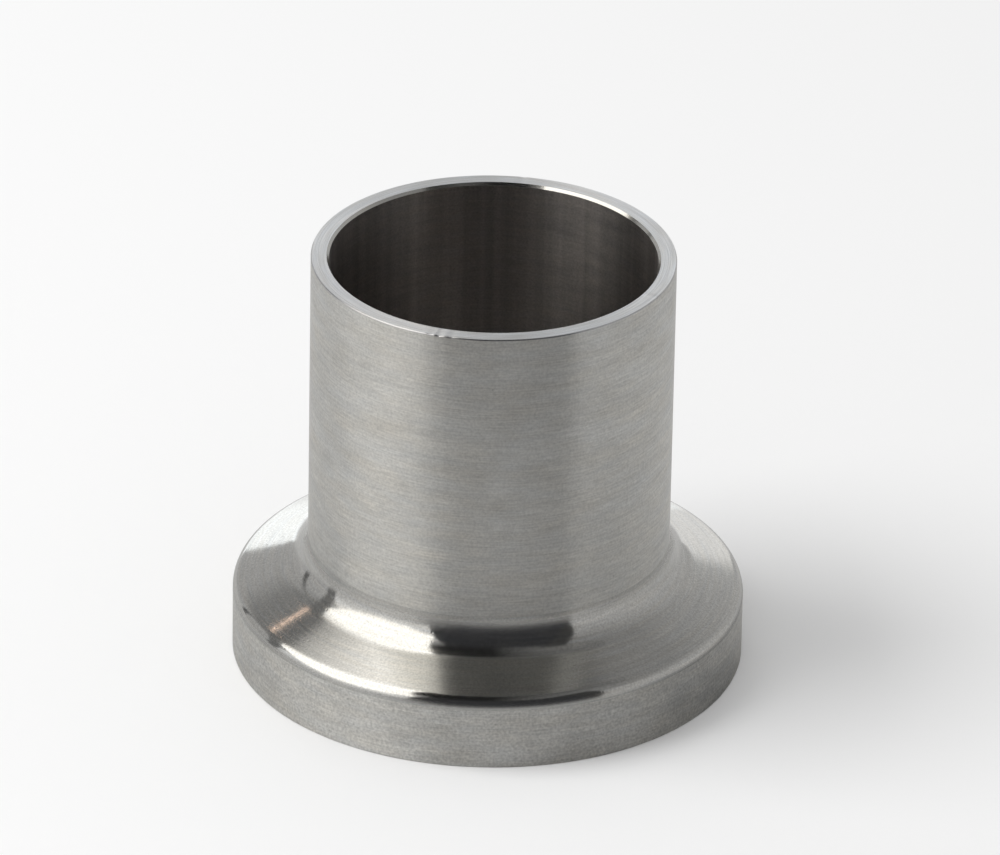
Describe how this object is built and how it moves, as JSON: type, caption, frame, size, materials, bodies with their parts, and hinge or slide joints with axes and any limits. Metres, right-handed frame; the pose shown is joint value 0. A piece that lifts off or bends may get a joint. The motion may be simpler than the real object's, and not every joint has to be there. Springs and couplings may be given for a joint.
{
  "type": "sanitary clamp ferrule",
  "caption": "Short stainless weld ferrule: a straight tube stub with a heavy round clamp flange at one end, its back sloping up to the tube and a gasket groove in its flat sealing face.",
  "frame": {"origin": "centre of the flange's flat sealing face, on the axis of the bore", "axes": "+Z along the axis from the sealing face towards the tube's weld end; X and Y lie in the sealing face and are interchangeable, because the part is a body of revolution"},
  "size_m": [0.0505, 0.0504, 0.0429],
  "materials": {
    "stainless_steel": "fine-turned all over, with a brighter turned finish on the back of the flange"
  },
  "bodies": {
    "root": {"ferrule": "stainless_steel"}
  },
  "joints": []
}
